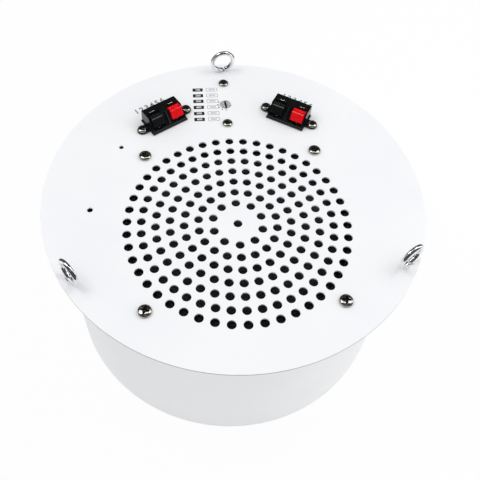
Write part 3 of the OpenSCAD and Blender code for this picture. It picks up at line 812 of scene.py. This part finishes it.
@dataclass
class Eyebolts(Assembly):
    """Three eyebolts, each bent from one wire, with a threaded shank."""

    eye_d: float = 22.0
    wire: float = 3.6
    wire_facets: int = 28
    lift: float = 0.05
    # Levels where the wire starts inside the shank and where it begins to bend
    buried_end: float = -3.0
    bend_foot: float = -1.2
    # How far the bend is drawn along the shank and along the eye
    foot_pull: float = 2.4
    joint_pull: float = 1.6
    bend_steps: int = 10
    eye_steps: int = 96
    start_angle: float = -72.0
    end_angle: float = 257.0
    turns: dict = field(default_factory=lambda: {"rear": 11, "left": 9, "right": -28})
    # How far each hand-bent eye stands off its shank
    sway: dict = field(default_factory=lambda: {"rear": (0.3, -2.0), "left": (1.7, -1.7),
                                                "right": (-2.0, -1.9)})
    thread_d: float = 4.0
    thread_pitch: float = 0.7
    thread_depth: float = 0.35
    crest: float = 0.1
    collar: float = 0.4
    shank: float = 15.0
    tip_bevel: float = 0.5
    shank_facets: int = 32

    def path(self, sway: Vector) -> list[Vector]:
        """The wire's centre line: up the shank, a bend, and round the eye until just short of the shank.

        Args:
            sway: How far the eye stands off its shank.

        Returns:
            Points in millimetres in the eye's own axes, x across, y through and z up from the plate.
        """
        ring = (self.eye_d - self.wire) / 2
        centre = sway + Vector((0, 0, self.eye_d / 2 + self.lift))
        start = math.radians(self.start_angle)
        along = Vector((-math.sin(start), 0, math.cos(start)))
        joint = centre + ring * Vector((math.cos(start), 0, math.sin(start)))
        foot = Vector((0, 0, self.bend_foot))
        pulls = (foot, foot + Vector((0, 0, self.foot_pull)), joint - along * self.joint_pull, joint)
        points = [Vector((0, 0, self.buried_end))]
        for i in range(self.bend_steps):
            t = i / self.bend_steps
            weights = ((1 - t) ** 3, 3 * t * (1 - t) ** 2, 3 * t * t * (1 - t), t ** 3)
            points.append(sum((w * p for w, p in zip(weights, pulls)), Vector()))
        for i in range(self.eye_steps + 1):
            angle = start + (math.radians(self.end_angle) - start) * i / self.eye_steps
            points.append(centre + ring * Vector((math.cos(angle), 0, math.sin(angle))))
        return points

    def thread(self) -> Points:
        """The shank's section, with a tooth for each turn of thread.

        Returns:
            A closed outline of radius and height in millimetres.
        """
        outer, root = self.thread_d / 2, self.thread_d / 2 - self.thread_depth
        section = [(0.0, self.collar), (outer - self.crest, self.collar)]
        level = 0.0
        while level > 1 - self.shank:
            section += [(outer, level - self.crest), (root, level - self.thread_pitch / 2)]
            level -= self.thread_pitch
        return section + [(outer - self.tip_bevel, -self.shank), (0.0, -self.shank)]

    def make(self) -> None:
        """Bends the three eyebolts."""
        for word, direction in EYE_DIRECTIONS.items():
            x, y = polar(EYE_CIRCLE / 2, direction)
            turn = Matrix.Rotation(math.radians(direction + 90 + self.turns[word]), 4, "Z")
            place = Matrix.Translation((x * MM, y * MM, self.shop.plate_top)) @ turn
            points = [place @ (p * MM) for p in self.path(turn.inverted() @ Vector((*self.sway[word], 0)))]
            mesh = bpy.data.meshes.new("wire")
            mesh.from_pydata(points, [(i, i + 1) for i in range(len(points) - 1)], [])
            wire = self.shop.bent_wire.grow(new_object("wire", mesh), {
                "Wire Diameter": self.wire * MM, "Wire Facets": self.wire_facets,
                "Finish": paint("bright_plate")})
            shape = revolve(self.thread(), self.shank_facets, place.translation)
            shape.from_mesh(wire.data)
            bpy.data.objects.remove(wire)
            eye = from_bmesh(f"eyebolt_{word}_bent_wire", shape)
            self.shop.hand_over(eye, "bright_plate", f"eyebolt_{word}")


@dataclass(frozen=True)
class PanScrew:
    """A cold-headed pan screw with a cross recess and a rolled thread.

    The recess is given as shares of the head's diameter, and its depths as shares of the head's height.
    """

    head_d: float
    head_h: float
    thread_d: float
    length: float
    pitch: float
    edge: float = 0.32
    roundness: float = 2.6
    arm: float = 0.31
    half_width: float = 0.078
    hub: float = 0.12
    wall: float = 0.02
    deep: float = 0.75
    shallow: float = 0.12
    floor_rise: float = 0.62
    floor_curve: float = 1.5
    # Reach of the painted recess shade, as a share of the head's diameter, and how far under the dome it
    # starts
    dark_reach: float = 0.36
    dark_below: float = 0.07
    rim_round: float = 0.12
    thread_start: float = -0.8
    tip: float = 0.4
    steps_round: int = 112
    steps_out: int = 38

    def dome(self, radius: float) -> float:
        """Height of the head above the plate at a radius, without its recess."""
        edge, share = self.edge * self.head_h, min(1.0, 2 * radius / self.head_d)
        return edge + (self.head_h - edge) * (1 - share ** self.roundness) ** (1 / self.roundness)

    def recess(self, x: float, y: float) -> float:
        """Depth of the cross recess at a point of the head.

        Args:
            x: Distance from the middle along one arm, in millimetres.
            y: The same along the other arm.

        Returns:
            The depth in millimetres, 0 outside the recess.
        """
        reach, radius = self.arm * self.head_d, math.hypot(x, y)
        in_arm = min(reach - max(abs(x), abs(y)), self.half_width * self.head_d - min(abs(x), abs(y)))
        into = max(in_arm, self.hub * self.head_d - radius)
        floor = self.deep * self.head_h * (1 - self.floor_rise * (radius / reach) ** self.floor_curve)
        return max(0.0, min(1.0, into / (self.wall * self.head_d))) * max(floor, self.shallow * self.head_h)

    def sections(self) -> Points:
        """The outline below the head's top, from the head's edge to the tip."""
        outer, root = self.thread_d / 2, self.thread_d / 2 - 0.4 * self.pitch
        outline = [(self.head_d / 2 - self.rim_round, 0.0), (outer, 0.0)]
        level = self.thread_start
        while level > 1 - self.length:
            outline += [(root, level), (outer, level - self.pitch / 2)]
            level -= self.pitch
        return outline + [(root, -self.length + self.tip), (0.6 * root, -self.length)]

    def template(self) -> Object:
        """Models the screw at the origin, with its head standing on z = 0.

        Returns:
            The screw as one closed mesh.
        """
        shape = bmesh.new()
        turns = [360 * j / self.steps_round for j in range(self.steps_round)]
        rings = []
        for i in range(1, self.steps_out + 1):
            radius = self.head_d / 2 * math.sin(QUARTER * i / self.steps_out)
            spots = [polar(radius, turn) for turn in turns]
            rings.append([(x, y, self.dome(radius) - self.recess(x, y)) for x, y in spots])
        rings += [[(*polar(radius, turn), level) for turn in turns] for radius, level in self.sections()]
        rings = [[shape.verts.new(Vector(point) * MM) for point in ring] for ring in rings]
        pole = shape.verts.new((0, 0, (self.head_h - self.recess(0, 0)) * MM))
        for j in range(self.steps_round):
            k = (j + 1) % self.steps_round
            shape.faces.new((pole, rings[0][j], rings[0][k]))
            for inner, outer in zip(rings, rings[1:]):
                shape.faces.new((inner[j], outer[j], outer[k], inner[k]))
        shape.faces.new(rings[-1])
        return from_bmesh("screw_template", shape, sharp=32)

    def darken(self, piece: Object, places: list[Vector]) -> None:
        """Paints shade into the cross recesses: their faces get the piece's second, near-black finish.

        Args:
            piece: A group of these screws.
            places: Where their heads stand, in metres.
        """
        for face in piece.data.polygons:
            offset = min((face.center - place for place in places), key=lambda o: o.xy.length) / MM
            radius = offset.xy.length
            below = self.dome(radius) - self.dark_below * self.head_h
            face.material_index = int(radius < self.dark_reach * self.head_d and 0 < offset.z < below)


@dataclass
class Fasteners(Assembly):
    """The three groups of screws that show on the plate."""

    driver: PanScrew = PanScrew(9.9, 3.0, 4.8, 13.0, 0.8)
    trafo: PanScrew = PanScrew(8.4, 2.5, 4.2, 8.0, 0.75)
    terminal: PanScrew = PanScrew(7.9, 2.3, 3.5, 9.0, 0.6)

    def make(self) -> None:
        """Sets the screws, each turned as its driver left it."""
        shop = self.shop
        driver = [Vector((x * MM, y * MM, shop.plate_top)) for x, y in GrillePlate.driver_screws()]
        trafo = [Vector((0, y * MM, shop.plate_top)) for y in GrillePlate.trafo_screw_y]
        terminal = [PushTerminal(shop, side).place @ (Vector((u, 0, PushTerminal.base)) * MM)
                    for side in Side for u in (-PushTerminal.ear_u, PushTerminal.ear_u)]
        groups = (("driver_screws", self.driver, driver, 3), ("transformer_screws", self.trafo, trafo, 5),
                  ("terminal_screws", self.terminal, terminal, 8))
        for node, screw, places, seed in groups:
            piece = shop.scatter.spread(f"{node}_cross_head", screw.template(), places,
                                        paint("screw_nickel"), loose_turn=90, seed=seed)
            # The second finish is painted shade for the cross recesses
            piece.data.materials.append(paint("punched_cross"))
            screw.darken(piece, places)
            shop.hand_over(piece, "screw_nickel", node)


@dataclass
class PushTerminal(Assembly):
    """A moulded push terminal: its housing, its two levers and the figures printed behind it."""

    side: Side
    x: float = 52.5
    y: float = 77.7
    turn: float = 31.5
    ear_u: float = 21.4
    base: float = 1.6
    moulded_edge: float = 0.22
    figure_u: tuple[float, ...] = (-14.0, -9.0, -4.0, 1.0, 6.0, 11.0)
    figure_v: float = 21.5
    figure_size: float = 7.0
    figure_stroke: float = 0.45

    @property
    def place(self) -> Matrix:
        """Turns the terminal's own axes, x along it and y to its rear, into the frame's."""
        spot = Vector((self.side.value * self.x * MM, self.y * MM, self.shop.plate_top))
        return Matrix.Translation(spot) @ Matrix.Rotation(math.radians(-self.side.value * self.turn), 4, "Z")

    def make(self) -> None:
        """Dresses the housing and both levers, and prints the figures."""
        word, shop = self.side.word, self.shop
        housing = shop.soften(f"terminal_{word}", f"terminal_{word}_moulding", self.moulded_edge)
        shop.hand_over(housing, "black_abs", f"terminal_{word}")
        for tint in Tint:
            node = f"lever_{word}_{tint.word}"
            lever = shop.soften(node, f"{node}_cap", self.moulded_edge)
            shop.hand_over(lever, f"{tint.word}_abs", node, body=f"{word}_{tint.word}_lever")
        placed = [(str(i + 1), self.place @ Matrix.Translation((u * MM, self.figure_v * MM, INK * MM / 2)))
                  for i, u in enumerate(self.figure_u)]
        shop.print_figures(f"terminal_{word}_figures", placed, self.figure_size, "ink_dark",
                           self.figure_stroke)


@dataclass
class TapSelector(Assembly):
    """The slotted shaft, its printed marks and the table of taps beside it."""

    shaft_edge: float = 0.25
    slot_floor: float = -2.1
    slot_reach: float = 4.3
    mark_radius: float = 6.55
    mark_angles: tuple[int, ...] = (150, 180, 210, 240, 270)
    mark_d: float = 1.15
    rows: tuple[float, ...] = (113.5, 106.3, 99.4, 92.1, 84.8, 77.8)
    box_x: float = -23.1
    box_size: tuple[float, float] = (8.8, 3.9)
    box_corner: float = 0.3
    box_type: float = 3.0
    frame_x: float = -10.9
    frame_size: tuple[float, float] = (10.0, 4.3)
    frame_corner: float = 1.0
    hollow_corner: float = 0.7
    frame_type: float = 2.6
    line: float = 0.42
    box_figures: tuple[str, ...] = ("100", "200", "300", "400", "500", "600")
    frame_figures: tuple[str, ...] = ("0010", "0020", "0030", "0040", "0050", "0060")

    @staticmethod
    def rounded(width: float, height: float, corner: float) -> Points:
        """A rectangle with rounded corners, as points round its middle."""
        half_x, half_y = width / 2 - corner, height / 2 - corner
        points = []
        for quarter, (sx, sy) in enumerate(((1, 1), (-1, 1), (-1, -1), (1, -1))):
            points += arc((sx * half_x, sy * half_y), corner, 90 * quarter, 90 * quarter + 90, 4)
        return points

    @staticmethod
    def patch(name: str, outer: Points, inner: Points | None = None) -> Object:
        """A patch of ink, with a hole where it has an inner outline of as many points.

        Args:
            name: The template's name.
            outer: Its outline in millimetres.
            inner: The outline of its hole, or None.

        Returns:
            The print, modelled at the origin.
        """
        shape = bmesh.new()
        levels = [[shape.verts.new((x * MM, y * MM, z * MM)) for x, y in outline]
                  for outline in (outer, inner) if outline for z in (0, INK)]
        count = len(outer)
        for first, second in [(0, 1)] if inner is None else [(0, 1), (1, 3), (3, 2), (2, 0)]:
            for i in range(count):
                j = (i + 1) % count
                shape.faces.new((levels[first][i], levels[first][j], levels[second][j], levels[second][i]))
        if inner is None:
            shape.faces.new(levels[0])
            shape.faces.new(levels[1])
        return from_bmesh(name, shape)

    def dress_shaft(self) -> None:
        """Gives the shaft its frosted finish, and paints shade into its sawn slot."""
        shaft = self.shop.soften("tap_shaft", "tap_shaft_turned", self.shaft_edge)
        # The second finish is painted shade for the walls and floor of the sawn slot
        for finish in ("shaft_end", "sawn_slot_painted_shade"):
            shaft.data.materials.append(paint(finish))
        foot, near = self.shop.plate_top + self.slot_floor * MM, 0.1 * MM
        for face in shaft.data.polygons:
            middle, facing = face.center, face.normal.z
            wall = facing < 0.3 and middle.z > foot - near
            floor = facing > 0.9 and abs(middle.z - foot) < near
            out = math.hypot(middle.x, middle.y - TAP_Y * MM)
            face.material_index = int(out < self.slot_reach * MM and (wall or floor))
        self.shop.hand_over(shaft, "screw_nickel", "tap_shaft", body=Body.TAP.value)

    def make(self) -> None:
        """Dresses the shaft and prints the marks and the table."""
        shop, top = self.shop, self.shop.plate_top
        self.dress_shaft()
        marks = [polar(self.mark_radius, angle) for angle in self.mark_angles]
        line = 2 * self.line
        rim = self.rounded(*self.frame_size, self.frame_corner)
        hollow = self.rounded(self.frame_size[0] - line, self.frame_size[1] - line, self.hollow_corner)
        for name, template, spots, ink in (
                ("tap_marks_print", self.patch("dot", arc((0, 0), self.mark_d / 2, 0, 345, 23)),
                 [(x, y + TAP_Y) for x, y in marks], "ink_black"),
                ("tap_table_boxes_print", self.patch("box", self.rounded(*self.box_size, self.box_corner)),
                 [(self.box_x, y) for y in self.rows], "ink_black"),
                ("tap_table_borders_print", self.patch("border", rim, hollow),
                 [(self.frame_x, y) for y in self.rows], "ink_grey")):
            places = [Vector((x * MM, y * MM, top)) for x, y in spots]
            shop.hand_over(shop.scatter.spread(name, template, places, paint(ink)), ink)
        for name, words, x, size, level, ink in (
                ("box_figures", self.box_figures, self.box_x, self.box_type, 1.5 * INK, "ink_white"),
                ("border_figures", self.frame_figures, self.frame_x, self.frame_type, 0.5 * INK, "ink_grey")):
            placed = [(word, Matrix.Translation((x * MM, y * MM, top + level * MM)))
                      for word, y in zip(words, self.rows)]
            shop.print_figures(f"tap_table_{name}", placed, size, ink)


@dataclass
class Suspension(Assembly):
    """The two cloth rings that carry the cone. The real ones bend as it moves; these are fixed meshes."""

    surround_margin: float = 1.1
    spider_sectors: int = 12
    coil_r: float = 12.75
    spider_in: float = 14.25
    spider_out: float = 44.5
    spider_lip: float = 52.0
    spider_t: float = 0.5
    waves: int = 5
    wave_steps: int = 12
    wave_h: float = 1.0
    sector_steps: int = 8
    lip_angle: float = 60.0

    def spider_section(self) -> Points:
        """The corrugated disc's section, about its middle level, as a closed outline in millimetres."""
        steps = self.wave_steps * self.waves
        reach, half, turns = self.spider_out - self.spider_in, self.spider_t / 2, math.tau * self.waves
        waves = [(self.spider_in + reach * i / steps, self.wave_h * math.sin(turns * i / steps))
                 for i in range(steps + 1)]
        line = [(self.coil_r, 0.0), *waves, (self.spider_lip, 0.0)]
        return [(r, z + half) for r, z in line] + [(r, z - half) for r, z in reversed(line)]

    def hang(self, piece: Object, slot: str, start: Vector, end: Vector) -> None:
        """Gives a ring its cloth and bakes its placing into its mesh.

        Args:
            piece: The ring, or a sector of it.
            slot: Its material slot.
            start: Where it still follows the basket. Not used.
            end: Where it follows the cone alone. Not used.
        """
        piece.data.materials.append(paint(slot))
        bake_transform(piece)
        LOG.info("%s: %d faces between basket and cone", piece.name, len(piece.data.polygons))

    def make(self) -> None:
        """Models both rings, the spider in sectors."""
        axis = Vector((0, -DRIVER_OFFSET * MM, 0))
        low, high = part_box("surround")
        pleats = bmesh.new()
        pleats.from_mesh(self.shop.nodes["surround"].data)
        surround = from_bmesh("surround_pleated_cloth", pleats)
        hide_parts("surround")
        margin = self.surround_margin * MM
        self.hang(surround, "pleated_cloth", Vector((0, axis.y, high.z - margin)),
                  Vector((0, axis.y, low.z + margin)))
        middle = axis + Vector((0, 0, sum(corner.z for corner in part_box("spider")) / 2))
        sweep = math.tau / self.spider_sectors
        for i in range(self.spider_sectors):
            shape = revolve(self.spider_section(), self.sector_steps, middle, sweep, i * sweep)
            sector = from_bmesh(f"spider_cloth_{i + 1:02d}", shape, self.lip_angle)
            if i == 0:
                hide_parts("spider")
            across = Vector((math.cos((i + 0.5) * sweep), math.sin((i + 0.5) * sweep), 0)) * MM
            self.hang(sector, "spider_cloth", axis + across * self.spider_out * math.cos(sweep / 2),
                      axis + across * self.spider_in)


def dress_nodes(shop: Workshop) -> None:
    """Gives every CAD node that stays the finish of its slot."""
    for name, node in shop.nodes.items():
        for slot in node.material_slots:
            slot.material = paint(slot.material.name.split(".")[0])
        LOG.info("%s: dressed as it is", name)


@dataclass
class Studio:
    """The white table, the soft lamps, the dark cards that metal reflects, and the camera."""

    camera_at: Triple = (-42.056, -293.335, 525.734)
    look: Triple = (0.07621, 0.59908, -0.79706)
    up: Triple = (0.03845, 0.79702, 0.60273)
    lens: float = 47.09
    shift: tuple[float, float] = (0.0248, -0.0875)
    ambient: float = 0.7
    floor_glow: float = 0.94
    # Each lamp's name, place in metres, size in metres and power in watts
    lamps: tuple[tuple[str, Triple, float, float], ...] = (
        ("left softbox", (-0.5, 0.15, 1.0), 0.5, 2.0), ("right softbox", (0.6, 0.15, 0.85), 0.5, 1.5),
        ("low right softbox", (1.5, -0.2, 0.45), 1.4, 4.8))
    aim: Triple = (0, 0, 0.12)
    card_steps: int = 24
    # Each card's name, radius and level of its foot and its head in metres, and the directions it spans
    cards: tuple = (("rear_card", (0.36, 0.01), (1.8, 2.6), 10, 170),
                    ("front_card", (0.36, 0.01), (1.8, 2.3), 190, 350))
    # Panels overhead: name, level and size in metres, shade and glow
    overhead_y: float = 0.1
    # The strip glows only in reflections and lights nothing: a painted highlight
    overhead: tuple = (("strip_light", 1.35, (1.8, 0.14), "#FFFFFF", 4.0),
                       ("ceiling_card", 1.4, (1.8, 2.0), CARD_GREY, 0.0))

    def seen(self, tree: NodeTree) -> Node:
        """1 for a ray from the camera or from gloss or glass, and 0 for light that falls on the object."""
        rays = add(tree, "ShaderNodeLightPath").outputs
        near = add(tree, "ShaderNodeMath", {0: rays["Is Camera Ray"], 1: rays["Is Glossy Ray"]},
                   operation="MAXIMUM")
        return add(tree, "ShaderNodeMath", {0: near, 1: rays["Is Transmission Ray"]}, operation="MAXIMUM")

    def backdrop(self) -> None:
        """Makes the world white where it is seen, and an even ambient light elsewhere."""
        world = bpy.data.worlds.new("studio")
        tree = empty_tree(world)
        strength = add(tree, "ShaderNodeMapRange",
                       {"Value": self.seen(tree), "To Min": self.ambient, "To Max": 1.0})
        light = add(tree, "ShaderNodeBackground", {"Color": (1, 1, 1, 1), "Strength": strength})
        add(tree, "ShaderNodeOutputWorld", {"Surface": light})
        bpy.context.scene.world = world

    def floor(self) -> None:
        """Lays a white floor that keeps a faint shadow."""
        material = bpy.data.materials.new("paper_sweep_white")
        tree = empty_tree(material)
        paper = add(tree, "ShaderNodeBsdfDiffuse", {"Color": linear("#F7F7F7")})
        glow = add(tree, "ShaderNodeEmission", {"Color": (1, 1, 1, 1)})
        share = add(tree, "ShaderNodeMath", {0: self.seen(tree), 1: self.floor_glow}, operation="MULTIPLY")
        mixed = add(tree, "ShaderNodeMixShader", {0: share, 1: paper, 2: glow})
        add(tree, "ShaderNodeOutputMaterial", {"Surface": mixed})
        shape = bmesh.new()
        bmesh.ops.create_grid(shape, x_segments=1, y_segments=1, size=12)
        floor = from_bmesh("floor", shape, clean=False)
        floor.data.materials.append(material)

    def reflected(self, name: str, shape: BMesh, shade: str, glow: float = 0.0) -> None:
        """Sets up a panel that only reflections see.

        Args:
            name: The panel's name.
            shape: Its shape. It is freed.
            shade: Its colour.
            glow: How much brighter than white paper it shines.
        """
        panel = from_bmesh(name, shape, clean=False)
        material = bpy.data.materials.new(name)
        tree = empty_tree(material)
        kind, inputs = ("ShaderNodeEmission", {"Strength": glow}) if glow else ("ShaderNodeBsdfDiffuse", {})
        surface = add(tree, kind, {"Color": linear(shade), **inputs})
        add(tree, "ShaderNodeOutputMaterial", {"Surface": surface})
        panel.data.materials.append(material)
        for ray in ("camera", "diffuse", "shadow", "transmission"):
            setattr(panel, f"visible_{ray}", False)

    def panels(self) -> None:
        """Sets up curved grey cards that lean outwards, and a glowing strip, a painted highlight, under a
        dark ceiling card.
        """
        steps = self.card_steps
        for name, foot, head, first, last in self.cards:
            shape = bmesh.new()
            low, high = ([shape.verts.new((x, y, level)) for x, y in arc((0, 0), radius, first, last, steps)]
                         for radius, level in (foot, head))
            for i in range(steps):
                shape.faces.new((low[i], low[i + 1], high[i + 1], high[i]))
            self.reflected(name, shape, CARD_GREY)
        for name, level, (length, width), shade, glow in self.overhead:
            shape = bmesh.new()
            shape.faces.new([shape.verts.new((sx * length / 2, self.overhead_y + sy * width / 2, level))
                             for sx, sy in ((-1, -1), (-1, 1), (1, 1), (1, -1))])
            self.reflected(name, shape, shade, glow)

    def light(self) -> None:
        """Hangs the soft lamps, each turned to the object."""
        for name, place, size, power in self.lamps:
            lamp = bpy.data.lights.new(name, "AREA")
            lamp.shape, lamp.size, lamp.energy = "DISK", size, power
            holder = new_object(name, lamp)
            holder.location = place
            holder.rotation_euler = (Vector(self.aim) - Vector(place)).to_track_quat("-Z", "Y").to_euler()

    def camera(self) -> None:
        """Sets the camera where the photograph was taken from."""
        data = bpy.data.cameras.new("camera")
        data.lens, (data.shift_x, data.shift_y) = self.lens, self.shift
        data.clip_start, data.clip_end = 0.01, 100
        holder = new_object("camera", data)
        look, up = Vector(self.look).normalized(), Vector(self.up).normalized()
        right = look.cross(up).normalized()
        turn = Matrix((right, right.cross(look), -look)).transposed()
        holder.matrix_world = Matrix.Translation(Vector(self.camera_at) * MM) @ turn.to_4x4()
        bpy.context.scene.camera = holder

    def make(self) -> None:
        """Sets the studio up."""
        bpy.context.scene.view_settings.view_transform = "Standard"
        self.backdrop()
        self.floor()
        self.panels()
        self.light()
        self.camera()


def main() -> None:
    """Builds the scene round the frame, one sub-assembly at a time."""
    logging.basicConfig(level=logging.INFO, format="%(message)s")
    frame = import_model()
    Studio().make()
    shop = Workshop(frame["nodes"])
    dress_nodes(shop)
    for assembly in (GrillePlate(shop), Eyebolts(shop), Fasteners(shop), PushTerminal(shop, Side.LEFT),
                     PushTerminal(shop, Side.RIGHT), TapSelector(shop), Suspension(shop)):
        assembly.make()


if __name__ == "__main__":
    main()
